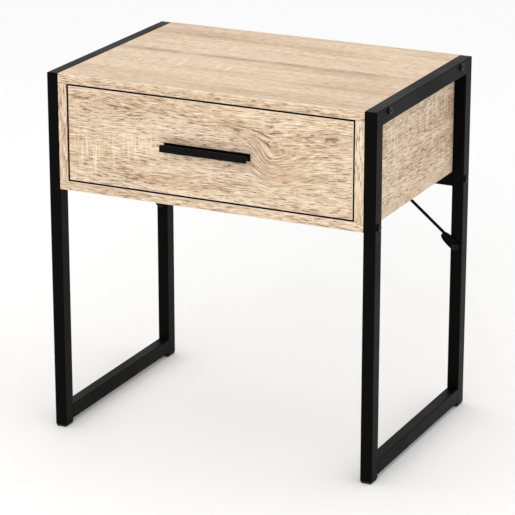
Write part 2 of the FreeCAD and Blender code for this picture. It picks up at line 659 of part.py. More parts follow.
def box_fittings():
    """Cam locks and bolts, dowels and long screws that hold the box together."""
    cam = cam_lock("cam_lock", "cam_radius", "cam_depth", "board")
    small_cam = cam_lock("small_cam_lock", "small_cam_radius", "small_cam_depth", "drawer_board")
    cam_bolt = cam_stud("cam_bolt", "cam_distance")
    small_cam_bolt = cam_stud("small_cam_bolt", "small_cam_distance")
    dowel = turned("dowel", [
        ("0", "0"), ("dowel_radius - edge_break", "0"), ("dowel_radius", "edge_break"),
        ("dowel_radius", "dowel_length - edge_break"),
        ("dowel_radius - edge_break", "dowel_length"), ("0", "dowel_length")])
    long_screw = countersunk("long_screw", "wood_screw_radius", "wood_screw_head",
                             "screw_head_height", "wood_screw_length")
    back_screw = countersunk("back_screw", "wood_screw_radius", "wood_screw_head",
                             "screw_head_height", "drawer_screw_length")
    places = [(side, y) for name, side in SIDES for y in joint_places("cam_front")]
    pegs = [(side, y) for name, side in SIDES for y in joint_places("dowel_front")]
    group("cam_locks", cam, [
        (f"{side} * {CABIN}", y, f"{CABIN_ROOF} - cam_distance", cam_turn(side, FreeCAD.Vector(0, 0, 1)))
        for side, y in places])
    group("cam_bolts", cam_bolt, [(panel_middle(side), y, CABIN_ROOF, UPRIGHT)
                                  for side, y in places])
    low = f"{CABIN_FLOOR} - stud_depth"
    high = f"{CABIN_ROOF} + stud_depth - dowel_length"
    group("box_dowels", dowel, [(panel_middle(side), y, z, UPRIGHT)
                                for side, y in pegs for z in (low, high)])
    group("bottom_panel_screws", long_screw, [
        (panel_middle(side), y, BOX_BOTTOM, UPSIDE_DOWN) for side, y in places])

    front_cams = [(side, z) for name, side in SIDES for z in drawer_cam_heights()]
    cam_depth = f"{BACK} + small_cam_distance"
    group("drawer_cam_locks", small_cam, [
        (f"{side} * {DRAWER_INNER}", cam_depth, z, cam_turn(side, FreeCAD.Vector(0, -1, 0)))
        for side, z in front_cams])
    group("drawer_cam_bolts", small_cam_bolt, [
        (f"{side} * ({DRAWER_INNER} + drawer_board / 2)", BACK, z, TO_FRONT)
        for side, z in front_cams])
    group("drawer_back_screws", back_screw, [
        (f"{side} * {DRAWER_OUTER}", f"{DRAWER_END} - drawer_board / 2", z, facing(side))
        for side, z in front_cams])


def cam_turn(side, slot):
    """Turns a cam so that its axis points into the board and its slot towards the cam bolt."""
    axis = FreeCAD.Vector(side, 0, 0)
    return FreeCAD.Rotation(slot, axis.cross(slot), axis, "ZXY")


def cam_lock(label, radius, depth, board):
    """A cam from z = 0 up: slotted along +X for its bolt, with a screwdriver cross below."""
    body = turned(label, [("0", "0"), (radius, "0"), (radius, depth), ("0", depth)])
    half = "(stem_radius + stem_play)"
    slot = rectangle((f"-{radius} / 2", f"{radius} + cut_margin"),
                     (f"{board} / 2 - {half}", f"{board} / 2 + {half}"))
    cut_pocket(body, "XZ", f"-{half}", half, slot)
    cross_recess(body, "0", "cross_depth")
    return body


def cross_recess(body, start, end):
    """Two crossed slots for a screwdriver."""
    for across, up in (("cross_reach", "cross_arm"), ("cross_arm", "cross_reach")):
        cut_pocket(body, "XY", start, end, rectangle((f"-{across}", across), (f"-{up}", up)))


def cam_stud(label, distance):
    """A cam bolt: threaded into a face above z = 0, with its stem and necked end below."""
    end = f"({distance} - stud_end_play)"
    return turned(label, [
        ("0", f"-{end}"), ("stem_radius", f"-{end}"), ("stem_radius", f"-{end} + neck_length"),
        ("neck_radius", f"-{end} + neck_length"), ("neck_radius", f"-{end} + 2 * neck_length"),
        ("stem_radius", f"-{end} + 2 * neck_length"), ("stem_radius", "0"), ("stud_radius", "0"),
        ("stud_radius", "stud_depth"), ("0", "stud_depth")])


def countersunk(label, radius, head, head_height, length):
    """A wood screw: flat head on z = 0, tapering into a shank that points down."""
    return turned(label, [
        ("0", f"-{length}"), (radius, f"-{length} + screw_tip"),
        (radius, f"-({head_height})"), (head, f"-({head_height}) + {head} - {radius}"),
        (head, "0"), ("0", "0")])


# ---- the drawer ------------------------------------------------------------------------------


def drawer_cam_heights():
    """Heights of the fittings in the drawer sides."""
    return [f"{DRAWER_FLOOR} + {height}" for height in DRAWER_FITTING_HEIGHTS]


def drawer_boards():
    """Inset front, two sides, a back between them, and a bottom in grooves."""
    low = f"({DRAWER_FLOOR} + bottom_lift)"
    groove = (f"{low} - groove_play / 2", f"{low} + back_board + groove_play / 2")
    floor_reach = f"({DRAWER_INNER} + groove_depth - groove_play)"

    front = new_body("drawer_front")
    reach = f"({CABIN} - drawer_gap)"
    up = (f"{CABIN_FLOOR} + drawer_gap", f"{CABIN_ROOF} - drawer_gap")
    add_pad(front, "XZ", FRONT, BACK, rectangle((f"-{reach}", reach), up))
    soften(front, "Chamfer", front_edges, "edge_chamfer")
    slot = (f"-{floor_reach} - groove_play", f"{floor_reach} + groove_play")
    cut_pocket(front, "XZ", f"{BACK} - groove_depth", BACK, rectangle(slot, groove))
    studs = [(f"{side} * ({DRAWER_INNER} + drawer_board / 2)", z, "stud_radius")
             for name, side in SIDES for z in drawer_cam_heights()]
    cut_pocket(front, "XZ", f"{BACK} - stud_depth", BACK, circles=studs)
    holes = [(f"{side} * handle_screw_span / 2", CABIN_MIDDLE, "handle_screw_radius")
             for name, side in SIDES]
    cut_pocket(front, "XZ", FRONT, BACK, circles=holes)

    for name, side in SIDES:
        drawer_side(name, side, groove)

    back = new_body("drawer_back")
    across = (f"-{DRAWER_INNER}", DRAWER_INNER)
    depth = (f"{DRAWER_END} - drawer_board", DRAWER_END)
    add_pad(back, "XY", groove[1], DRAWER_TOP, rectangle(across, depth))
    for name, side in SIDES:
        grip = f"{DRAWER_OUTER} - drawer_screw_length"
        screws = [(f"{DRAWER_END} - drawer_board / 2", z, "wood_screw_radius")
                  for z in drawer_cam_heights()]
        cut_pocket(back, "YZ", *span(side, grip, DRAWER_INNER), circles=screws)

    bottom = new_body("drawer_bottom")
    depth = (f"{BACK} - groove_depth + groove_play", DRAWER_END)
    add_pad(bottom, "XY", low, f"{low} + back_board",
            rectangle((f"-{floor_reach}", floor_reach), depth))


def drawer_side(name, side, groove):
    """A drawer side with its bottom groove, cam, screw and runner holes."""
    body = new_body(f"drawer_{name}_side")
    across = span(side, DRAWER_INNER, DRAWER_OUTER)
    add_pad(body, "XY", DRAWER_FLOOR, DRAWER_TOP, rectangle(across, (BACK, DRAWER_END)))
    inner = span(side, DRAWER_INNER, f"{DRAWER_INNER} + groove_depth")
    cut_pocket(body, "XZ", BACK, DRAWER_END, rectangle(inner, groove))
    cams = [(f"{BACK} + small_cam_distance", z, "small_cam_radius") for z in drawer_cam_heights()]
    cut_pocket(body, "YZ", *span(side, DRAWER_INNER, f"{DRAWER_INNER} + small_cam_depth"),
               circles=cams)
    middle = f"{side} * ({DRAWER_INNER} + drawer_board / 2)"
    stems = [(middle, z, "stem_radius + stem_play") for z in drawer_cam_heights()]
    cut_pocket(body, "XZ", BACK, f"{BACK} + small_cam_distance", circles=stems)
    screw_depth = f"{DRAWER_END} - drawer_board / 2"
    screws = [(screw_depth, z, "wood_screw_radius") for z in drawer_cam_heights()]
    heads = [(screw_depth, z, "wood_screw_head") for z in drawer_cam_heights()]
    cut_pocket(body, "YZ", *across, circles=screws)
    cut_pocket(body, "YZ", *span(side, f"{DRAWER_OUTER} - screw_head_height", DRAWER_OUTER),
               circles=heads)
    pilots = [(y, z, "runner_screw_radius") for y, z in drawer_screw_places()]
    deep = f"{DRAWER_OUTER} + runner_sheet - runner_screw_length"
    cut_pocket(body, "YZ", *span(side, deep, DRAWER_OUTER), circles=pilots)


def handle():
    """An extruded bar pull: two flanges and a thin web, with tapped holes in the rear flange."""
    body = new_body("drawer_handle")
    half = "handle_height / 2"
    web = "handle_web / 2"
    rear = f"{FRONT} - handle_rear_flange"
    front = f"{FRONT} - handle_projection + handle_front_flange"
    tip = f"{FRONT} - handle_projection"
    upper = [(FRONT, half), (rear, half), (rear, web), (front, web), (front, half), (tip, half)]
    lower = [(y, f"-{z}") for y, z in reversed(upper)]
    outline = [(y, f"{CABIN_MIDDLE} + ({z})") for y, z in upper + lower]
    add_pad(body, "YZ", "-handle_length / 2", "handle_length / 2", outline)
    soften(body, "Fillet", lambda edge, box: runs_along(edge, "x")
           and near(edge.CenterOfMass.y, box.YMin), "handle_round")
    holes = [(f"{side} * handle_screw_span / 2", CABIN_MIDDLE, "handle_screw_radius")
             for name, side in SIDES]
    cut_pocket(body, "XZ", rear, FRONT, circles=holes)

    screw = turned("handle_screw", [
        ("0", "-board - handle_rear_flange"), ("handle_screw_radius", "-board - handle_rear_flange"),
        ("handle_screw_radius", "0"), ("handle_screw_head", "0"),
        ("handle_screw_head", "handle_screw_head_height / 2"),
        ("handle_screw_crown", "handle_screw_head_height"), ("0", "handle_screw_head_height")])
    cross_recess(screw, "handle_screw_head_height - cross_depth", "handle_screw_head_height")
    group("handle_screws", screw, [(f"{side} * handle_screw_span / 2", BACK, CABIN_MIDDLE, TO_REAR)
                                   for name, side in SIDES])


# ---- the runners -----------------------------------------------------------------------------


def cabinet_screw_places():
    """Screws of a cabinet runner, as depth and height."""
    height = f"{CHANNEL_FLOOR} + runner_channel / 2"
    return [(f"{FRONT} + {offset}", height) for offset in CABINET_SCREW_OFFSETS]


def drawer_screw_places():
    """Screws of a drawer runner, as depth and height."""
    return [(f"{BACK} + {offset}", f"{DRAWER_FLOOR} + bottom_lift / 2")
            for offset in DRAWER_SCREW_OFFSETS]


def runners():
    """Roller runners: a channel on each side panel, a stepped profile on each drawer side."""
    screw = countersunk("runner_screw", "runner_screw_radius", "runner_screw_head",
                        "runner_sheet", "runner_screw_length")
    for name, side in SIDES:
        cabinet_runner(name, side)
        drawer_runner(name, side)
    group("cabinet_runner_screws", screw, [
        (f"{side} * ({CABIN} - runner_sheet)", y, z, facing(-side))
        for name, side in SIDES for y, z in cabinet_screw_places()])
    group("drawer_runner_screws", screw, [
        (f"{side} * ({DRAWER_OUTER} + runner_sheet)", y, z, facing(side))
        for name, side in SIDES for y, z in drawer_screw_places()])


def cabinet_runner(name, side):
    """A channel that opens towards the drawer, with an end stop bent up from its floor."""
    body = new_body(f"{name}_cabinet_runner")
    start = f"{BACK} + runner_setback"
    length = (start, f"{start} + drawer_length")
    web = f"({CABIN} - runner_sheet)"
    lip = f"({ROLLER_INNER} - runner_lip)"
    top = f"({CHANNEL_FLOOR} - runner_sheet + runner_channel)"
    crown = f"{CABIN} - runner_top_lip"
    points = [(CABIN, f"{CHANNEL_FLOOR} - runner_sheet"), (CABIN, top), (crown, top),
              (crown, f"{top} - runner_sheet"), (web, f"{top} - runner_sheet"),
              (web, CHANNEL_FLOOR), (lip, CHANNEL_FLOOR), (lip, f"{CHANNEL_FLOOR} - runner_sheet")]
    add_pad(body, "XZ", *length, [(f"{side} * ({x})", z) for x, z in points])
    stop_face = f"({REAR_ROLLER} - drawer_travel - roller_radius - stop_play)"
    across = span(side, lip, web)
    stop = rectangle(across, (f"{stop_face} - runner_sheet", stop_face))
    add_pad(body, "XY", CHANNEL_FLOOR, f"{CHANNEL_FLOOR} + stop_height", stop)
    screws = [(y, z, "runner_screw_head") for y, z in cabinet_screw_places()]
    sheet_span = span(side, web, CABIN)
    cut_pocket(body, "YZ", *sheet_span, circles=screws)
    pin = (FRONT_ROLLER, ROLLER_HEIGHT, "journal_radius")
    cut_pocket(body, "YZ", *sheet_span, circles=[pin])


def drawer_runner(name, side):
    """A sheet that carries the drawer side's lower edge and steps out to the roller track."""
    body = new_body(f"{name}_drawer_runner")
    under = f"({DRAWER_FLOOR} - runner_sheet)"
    face = f"({DRAWER_OUTER} + runner_sheet)"
    reach = f"({ROLLER_OUTER} + roller_gap)"
    points = [(DRAWER_INNER, under), (face, under), (face, TRACK), (reach, TRACK),
              (reach, f"{TRACK} + runner_sheet"), (DRAWER_OUTER, f"{TRACK} + runner_sheet"),
              (DRAWER_OUTER, DRAWER_FLOOR), (DRAWER_INNER, DRAWER_FLOOR)]
    add_pad(body, "XZ", BACK, DRAWER_END, [(f"{side} * ({x})", z) for x, z in points])
    screws = [(y, z, "runner_screw_head") for y, z in drawer_screw_places()]
    sheet_span = span(side, DRAWER_OUTER, face)
    cut_pocket(body, "YZ", *sheet_span, circles=screws)
    pin = (REAR_ROLLER, ROLLER_HEIGHT, "journal_radius")
    cut_pocket(body, "YZ", *sheet_span, circles=[pin])


def rollers():
    """Four rollers on shouldered pins: two fixed to the cabinet, two that travel along."""
    play = "(journal_radius + journal_play)"
    roller = turned("roller", [
        (play, "0"), ("roller_radius - edge_break", "0"), ("roller_radius", "edge_break"),
        ("roller_radius", "roller_width - edge_break"),
        ("roller_radius - edge_break", "roller_width"), (play, "roller_width")])
    web = f"({CABIN} - runner_sheet)"
    face = f"({DRAWER_OUTER} + runner_sheet)"
    fixed_pin = roller_pin("fixed_pin", f"({web} - {ROLLER_OUTER} - roller_gap)")
    moving_pin = roller_pin("moving_pin", f"({ROLLER_INNER} - roller_gap - {face})")
    for name, side in SIDES:
        x = f"{side} * {ROLLER_INNER}"
        single(f"{name}_cabinet_roller", roller, x, FRONT_ROLLER, ROLLER_HEIGHT, facing(side))
        single(f"{name}_drawer_roller", roller, x, REAR_ROLLER, ROLLER_HEIGHT, facing(side))
    group("cabinet_roller_pins", fixed_pin, [
        (f"{side} * {CABIN}", FRONT_ROLLER, ROLLER_HEIGHT, facing(-side)) for name, side in SIDES])
    group("drawer_roller_pins", moving_pin, [
        (f"{side} * {DRAWER_OUTER}", REAR_ROLLER, ROLLER_HEIGHT, facing(side))
        for name, side in SIDES])


def roller_pin(label, shoulder):
    """A riveted pin from z = 0 up: through the sheet, shoulder, journal and head."""
    seat = f"runner_sheet + {shoulder}"
    journal = f"{seat} + roller_width + 2 * roller_gap"
    return turned(label, [
        ("0", "0"), ("journal_radius", "0"), ("journal_radius", "runner_sheet"),
        ("collar_radius", "runner_sheet"), ("collar_radius", seat), ("journal_radius", seat),
        ("journal_radius", journal), ("collar_radius", journal),
        ("collar_radius", f"{journal} + pin_head"), ("0", f"{journal} + pin_head")])


# ---- build, check and write ------------------------------------------------------------------


def check_document():
    """Stops if an object failed, or if a node's shape is empty or not valid."""
    doc.recompute()
    for thing in doc.Objects:
        if {"Invalid", "Error"} & set(thing.State):
            raise RuntimeError(f"{thing.Label} failed: {thing.State}")
    for node in nodes:
        if node.Shape.isNull() or not node.Shape.isValid() or not node.Shape.Solids:
            raise RuntimeError(f"{node.Label} has no valid solid")


def write_nodes():
    """Writes one STEP file for each node."""
    os.makedirs("parts", exist_ok=True)
    for node in nodes:
        node.Shape.exportStep(f"parts/{node.Label}.step")
        box = node.Shape.BoundBox
        print(f"{node.Label}: {len(node.Shape.Solids)} solid(s), x {box.XMin:.1f}..{box.XMax:.1f}, "
              f"y {box.YMin:.1f}..{box.YMax:.1f}, z {box.ZMin:.1f}..{box.ZMax:.1f}")


fill_sheet()
for name, side in SIDES:
    side_frame(name, side)
foot_plugs()
crossbar()
crossbar_end_nuts()
struts()
frame_fasteners()
box_panels()
box_fittings()
drawer_boards()
handle()
runners()
rollers()
check_document()
write_nodes()
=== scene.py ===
"""Looks of the side table: every CAD piece is kept, with a procedural material of its own."""

from collections import namedtuple
import math

import bpy
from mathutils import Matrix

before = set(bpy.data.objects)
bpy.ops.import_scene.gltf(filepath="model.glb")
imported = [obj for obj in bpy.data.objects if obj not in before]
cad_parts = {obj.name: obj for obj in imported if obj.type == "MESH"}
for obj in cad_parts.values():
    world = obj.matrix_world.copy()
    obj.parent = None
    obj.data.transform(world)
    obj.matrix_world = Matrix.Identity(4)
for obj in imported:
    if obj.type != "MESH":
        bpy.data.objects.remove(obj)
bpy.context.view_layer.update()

SIDES = ("left", "right")

# The nodes that have their material already.
dressed = set()

# A mark of the oak pattern, in metres: its middle and its reach, along and across the grain.
Spot = namedtuple("Spot", "along across reach_along reach_across strength", defaults=(1.0,))
# A place where the grain drops: its middle, half its length, its reach across, and the drop.
Swirl = namedtuple("Swirl", "along across half_length reach drop")
# A noise: its frequencies along, across and through the grain, then its texture.
Layer = namedtuple("Layer", "scale detail rough distortion", defaults=(2, 0.5, 0.0))
# Marks on the wood: the noise values where they begin and are full, then their display colour.
Mark = namedtuple("Mark", "begin full color strength", defaults=(1.0,))

TOP_KNOTS = (
    Spot(-0.195, 0.021, 0.050, 0.006, 0.85), Spot(-0.055, 0.021, 0.060, 0.007, 1.0),
    Spot(0.044, 0.024, 0.030, 0.006, 0.8), Spot(0.150, 0.020, 0.065, 0.008, 0.9),
    Spot(0.090, 0.112, 0.060, 0.005, 0.4), Spot(0.150, -0.080, 0.080, 0.006, 0.45),
    Spot(-0.150, 0.140, 0.080, 0.006, 0.45), Spot(-0.040, -0.150, 0.120, 0.006, 0.35),
)
TOP_SAW = (Spot(-0.190, -0.045, 0.080, 0.018), Spot(-0.060, -0.038, 0.070, 0.014))
FRONT_KNOTS = (
    Spot(0.128, 0.521, 0.018, 0.005, 0.8), Spot(-0.060, 0.518, 0.028, 0.004, 0.6),
    Spot(-0.190, 0.558, 0.070, 0.020, 0.3), Spot(-0.150, 0.442, 0.090, 0.008, 0.3),
    Spot(0.165, 0.484, 0.050, 0.005, 0.45), Spot(0.205, 0.548, 0.040, 0.012, 0.3),
)
FRONT_SAW = (Spot(-0.205, 0.480, 0.050, 0.036), Spot(-0.110, 0.494, 0.040, 0.022))
FRONT_SWIRL = Swirl(0.088, 0.502, 0.024, 0.034, 0.032)
SIDE_KNOTS = (Spot(0.150, 0.530, 0.060, 0.020, 0.6), Spot(0.080, 0.480, 0.090, 0.006, 0.3))
SIDE_SAW = (Spot(-0.050, 0.520, 0.110, 0.040), Spot(0.120, 0.540, 0.050, 0.050))

# The grain's bends: its wandering, how hard a knot pulls it, the swirl's band in half lengths and
# its eye in metres, and how strongly veins show away from a swirl.
WANDER = Layer((5, 13, 13))
WANDER_DEPTH = 0.010
KNOT_PULL = -0.7
SWIRL_BAND = 4
SWIRL_EYE = 0.05
CALM_CURL = 0.15

# The oak's noises, from broad tones to the finest fibres.
OAK_LAYERS = {
    "broad": Layer((3, 26, 26), 3, 0.55),
    "rings": Layer((5, 120, 120), 4, 0.62, 0.3),
    "fibre": Layer((24, 1500, 1500), 1, 0.6),
    "streak": Layer((66, 800, 800)),
    "veins": Layer((10, 560, 560), 2, 0.6, 0.2),
    "clump": Layer((9, 40, 40), 3, 0.6),
    "figure": Layer((16, 620, 620), 2, 0.6),
}
ASH_LAYER = Layer((80, 900, 900))
ASH_SEED_SHIFT = 40
TICK_LAYER = Layer((330, 14, 1), 1, 0.4)

# Display colours from 0 to 255; shares and strengths from 0 to 1.
DEEP_OAK, PALE_OAK = (204, 175, 143), (229, 206, 177)
BROAD_SHARE, RINGS_SHARE = 0.55, 0.45
FIGURE = Mark(0.48, 0.62, (168, 137, 105), 0.15)
PORES = Mark(0.56, 0.62, (108, 78, 54), 0.85)
ASH = Mark(0.57, 0.63, (138, 127, 120))
GLINTS = Mark(0.42, 0.36, (247, 232, 209), 0.75)
VEINS = Mark(0.54, 0.64, (142, 110, 82), 0.7)
FIBRES = Mark(0.45, 0.75, (164, 136, 106), 0.3)
STAINS = Mark(0.3, 0.62, (142, 112, 84), 0.95)
SAW_LINES = Mark(0.56, 0.66, (240, 224, 198), 0.75)
# Display colour of the painted highlight on chamfers that face the front, then the painted shade
# that blackens narrow gaps, and how far that shade reaches.
CHAMFER_PAINTED_HIGHLIGHT = (244, 230, 208)
GAP_PAINTED_SHADE = (12, 10, 9)
GAP_SHADE_REACH = 0.012

# Each softbox's place, size and power, what they all point at, and the floor's half width.
SOFTBOXES = {
    "overhead": ((-0.9, 1.2, 3.0), (2.4, 2.4), 6),
    "front": ((0.4, -3.2, 2.2), (2.0, 1.6), 32),
    "right": ((3.2, 0.4, 1.5), (1.8, 1.8), 4),
}
LIT_POINT = (0, 0, 0.35)
FLOOR_REACH = 40.0

# The camera's place in metres, its turn and tilt in radians, its lens in mm, and how far it sees.
CAMERA_PLACE = (1.745, -3.619, 1.618)
CAMERA_TURN, CAMERA_TILT = 0.450, 0.322
CAMERA_LENS = 181.7
CAMERA_SIGHT = 200


def linear(red, green, blue):
    """A display colour from 0 to 255 as the linear colour that a shader takes."""
    parts = [c / 255 for c in (red, green, blue)]
    return (*[c / 12.92 if c <= 0.04045 else ((c + 0.055) / 1.055) ** 2.4 for c in parts], 1)


class Graph:
    """A material's node tree, with short calls for the nodes used here."""

    def __init__(self, name, roughness, specular=0.5, metallic=0.0):
        self.material = bpy.data.materials.new(name)
        self.material.use_nodes = True
        self.nodes = self.material.node_tree.nodes
        self.links = self.material.node_tree.links
        self.shader = self.nodes["Principled BSDF"]
        self.shader.inputs["Roughness"].default_value = roughness
        self.shader.inputs["Specular IOR Level"].default_value = specular
        self.shader.inputs["Metallic"].default_value = metallic

    def put(self, socket, value):
        """Links a socket to another node's output, or sets it to a plain value."""
        if isinstance(value, bpy.types.NodeSocket):
            self.links.new(value, socket)
        else:
            socket.default_value = value

    def calculate(self, operation, first, second=0.0, clamp=False):
        node = self.nodes.new("ShaderNodeMath")
        node.operation = operation
        node.use_clamp = clamp
        self.put(node.inputs[0], first)
        self.put(node.inputs[1], second)
        return node.outputs[0]

    def plus(self, first, second):
        return self.calculate("ADD", first, second)

    def minus(self, first, second):
        return self.calculate("SUBTRACT", first, second)

    def times(self, first, second):
        return self.calculate("MULTIPLY", first, second)

    def ramp(self, value, low, high, start=0.0, end=1.0):
        """A smooth step from start to end while the value goes from low to high."""
        node = self.nodes.new("ShaderNodeMapRange")
        node.interpolation_type = "SMOOTHSTEP"
        self.put(node.inputs["Value"], value)
        node.inputs["From Min"].default_value = low
        node.inputs["From Max"].default_value = high
        node.inputs["To Min"].default_value = start
        node.inputs["To Max"].default_value = end
        return node.outputs[0]

    def vector(self, x, y, z):
        node = self.nodes.new("ShaderNodeCombineXYZ")
        for socket, value in zip(node.inputs, (x, y, z)):
            self.put(socket, value)
        return node.outputs[0]

    def noise(self, vector, scale, detail=2, rough=0.5, distortion=0.0):
        """Noise from 0 to 1 on coordinates stretched by a scale for each axis."""
        stretch = self.nodes.new("ShaderNodeVectorMath")
        stretch.operation = "MULTIPLY"
        self.put(stretch.inputs[0], vector)
        stretch.inputs[1].default_value = scale
        node = self.nodes.new("ShaderNodeTexNoise")
        self.put(node.inputs["Vector"], stretch.outputs[0])
        node.inputs["Scale"].default_value = 1
        node.inputs["Detail"].default_value = detail
        node.inputs["Roughness"].default_value = rough
        node.inputs["Distortion"].default_value = distortion
        return node.outputs[0]

    def even_noise(self, frequency, detail, rough, distortion=0.0):
        """Noise with the same frequency in every direction of the piece."""
        return self.noise(self.vector(*self.place()), (frequency,) * 3, detail, rough, distortion)

    def mix(self, factor, first, second, kind="RGBA"):
        """Goes from first to second, two colours or, with the kind FLOAT, two numbers."""
        node = self.nodes.new("ShaderNodeMix")
        node.data_type = kind
        socket_type = {"RGBA": "RGBA", "FLOAT": "VALUE"}[kind]
        pair = [s for s in node.inputs if s.name in ("A", "B") and s.type == socket_type]
        self.put(node.inputs[0], factor)
        self.put(pair[0], first)
        self.put(pair[1], second)
        return next(s for s in node.outputs if s.enabled)

    def place(self):
        """The shaded point's coordinates on its own piece, in metres."""
        node = self.nodes.new("ShaderNodeSeparateXYZ")
        where = self.nodes.new("ShaderNodeTexCoord")
        self.links.new(where.outputs["Object"], node.inputs[0])
        return node.outputs

    def facing_front(self):
        """1 on a face that looks straight along y, to the front or the back, and 0 on its sides."""
        node = self.nodes.new("ShaderNodeSeparateXYZ")
        self.links.new(self.nodes.new("ShaderNodeNewGeometry").outputs["Normal"], node.inputs[0])
        return self.calculate("ABSOLUTE", node.outputs["Y"])

    def open_to_light(self, reach):
        """1 on an open surface, towards 0 between faces that stand closer than the reach."""
        node = self.nodes.new("ShaderNodeAmbientOcclusion")
        node.samples = 16
        node.inputs["Distance"].default_value = reach
        return node.outputs["AO"]

    def bump(self, height, strength, distance):
        node = self.nodes.new("ShaderNodeBump")
        node.inputs["Strength"].default_value = strength
        node.inputs["Distance"].default_value = distance
        self.put(node.inputs["Height"], height)
        self.put(self.shader.inputs["Normal"], node.outputs[0])

    def finish(self, color, roughness=None):
        """Gives the shader its colour and, when it varies, its roughness."""
        self.put(self.shader.inputs["Base Color"], color)
        if roughness is not None:
            self.put(self.shader.inputs["Roughness"], roughness)
        return self.material


def blob(g, along, across, spot):
    """A soft oval: 1 at the spot's middle, falling to 0 past its reach along and across."""
    far = g.calculate("DIVIDE", g.minus(along, spot.along), spot.reach_along)
    wide = g.calculate("DIVIDE", g.minus(across, spot.across), spot.reach_across)
    squares = g.plus(g.times(far, far), g.times(wide, wide))
    return g.calculate("POWER", math.e, g.times(squares, -1.0))


def total(g, values):
    """The sum of several values, clamped to 0..1."""
    result = values[0]
    for value in values[1:]:
        result = g.plus(result, value)
    return g.calculate("MULTIPLY", result, 1.0, clamp=True)


def bend_grain(g, along, across, depth, knots, swirl):
    """Where a point lies across the grain, and how strongly the veins show there.

    The grain wanders a little, bulges round the knots and drops where it swirls.
    """
    wander = g.minus(g.noise(g.vector(along, across, depth), *WANDER), 0.5)
    bent = g.plus(across, g.times(wander, WANDER_DEPTH))
    for knot in knots:
        pull = g.times(blob(g, along, across, knot), KNOT_PULL)
        bent = g.plus(bent, g.times(g.minus(across, knot.across), pull))
    if not swirl:
        return bent, CALM_CURL
    first, last = swirl.along - swirl.half_length, swirl.along + swirl.half_length
    slide = g.ramp(along, first, last, start=0.0, end=swirl.drop)
    band = Spot(swirl.along, swirl.across, SWIRL_BAND * swirl.half_length, swirl.reach)
    eye = Spot(swirl.along, swirl.across, SWIRL_EYE, swirl.reach)
    bent = g.plus(bent, g.times(slide, blob(g, along, across, band)))
    return bent, g.plus(CALM_CURL, blob(g, along, across, eye))


def oak_color(g, layer, pores, ash, curl, dashes):
    """The wood's tones, then its figure, pores, grey and pale dashes, veins and fibres."""
    shade = g.plus(g.times(layer["broad"], BROAD_SHARE), g.times(layer["rings"], RINGS_SHARE))
    color = g.mix(g.ramp(shade, low=0.38, high=0.6), linear(*DEEP_OAK), linear(*PALE_OAK))
    figure = g.times(g.ramp(layer["figure"], FIGURE.begin, FIGURE.full), FIGURE.strength)
    color = g.mix(figure, color, linear(*FIGURE.color))
    dark = g.times(g.times(pores, PORES.strength), dashes)
    color = g.mix(dark, color, linear(*PORES.color))
    ash_clump = g.ramp(layer["clump"], low=0.4, high=0.65, start=0.3, end=0.6)
    grey = g.times(g.ramp(ash, ASH.begin, ASH.full), ash_clump)
    color = g.mix(g.times(grey, dashes), color, linear(*ASH.color))
    glint = g.ramp(layer["streak"], GLINTS.begin, GLINTS.full)
    color = g.mix(g.times(glint, g.times(dashes, GLINTS.strength)), color, linear(*GLINTS.color))
    vein = g.times(g.ramp(layer["veins"], VEINS.begin, VEINS.full), g.times(curl, VEINS.strength))
    color = g.mix(vein, color, linear(*VEINS.color))
    fibre = g.ramp(layer["fibre"], FIBRES.begin, FIBRES.full, end=FIBRES.strength)
    return g.mix(fibre, color, linear(*FIBRES.color))


def stain_knots(g, color, along, across, rings, knots):
    """Darkens the wood at its knots, in step with the rings."""
    stains = [g.times(blob(g, along, across, knot), knot.strength) for knot in knots]
    depth = g.ramp(rings, STAINS.begin, STAINS.full, start=0.35, end=STAINS.strength)
    return g.mix(g.times(total(g, stains), depth), color, linear(*STAINS.color))


def saw_wood(g, color, along, across, seed, fields):
    """Draws pale saw lines across the grain, inside the fields."""
    ticks = g.noise(g.vector(along, across, seed), *TICK_LAYER)
    inside = total(g, [blob(g, along, across, field) for field in fields])
    lines = g.times(g.ramp(ticks, SAW_LINES.begin, SAW_LINES.full), inside)
    return g.mix(g.times(lines, SAW_LINES.strength), color, linear(*SAW_LINES.color))


def paint_edge_highlight_and_crevice_shade(g, color):
    """Paints a highlight on the chamfers of faces that look to the front, and paints shade that
    blackens narrow gaps.
    """
    front = g.facing_front()
    # Painted highlight: chamfers between the front and the sides are made paler, as if they caught
    # the light.
    edge_highlight = g.times(
        g.ramp(front, low=0.55, high=0.65),
        g.ramp(front, low=0.9, high=0.8, start=0.0, end=0.6))
    color = g.mix(edge_highlight, color, linear(*CHAMFER_PAINTED_HIGHLIGHT))
    # Painted shade: where faces stand closer than the reach, as in the gaps round the drawer, the
    # wood is blackened.
    crevice_shade = g.ramp(g.open_to_light(GAP_SHADE_REACH), low=0.52, high=0.42)
    return g.mix(crevice_shade, color, linear(*GAP_PAINTED_SHADE))


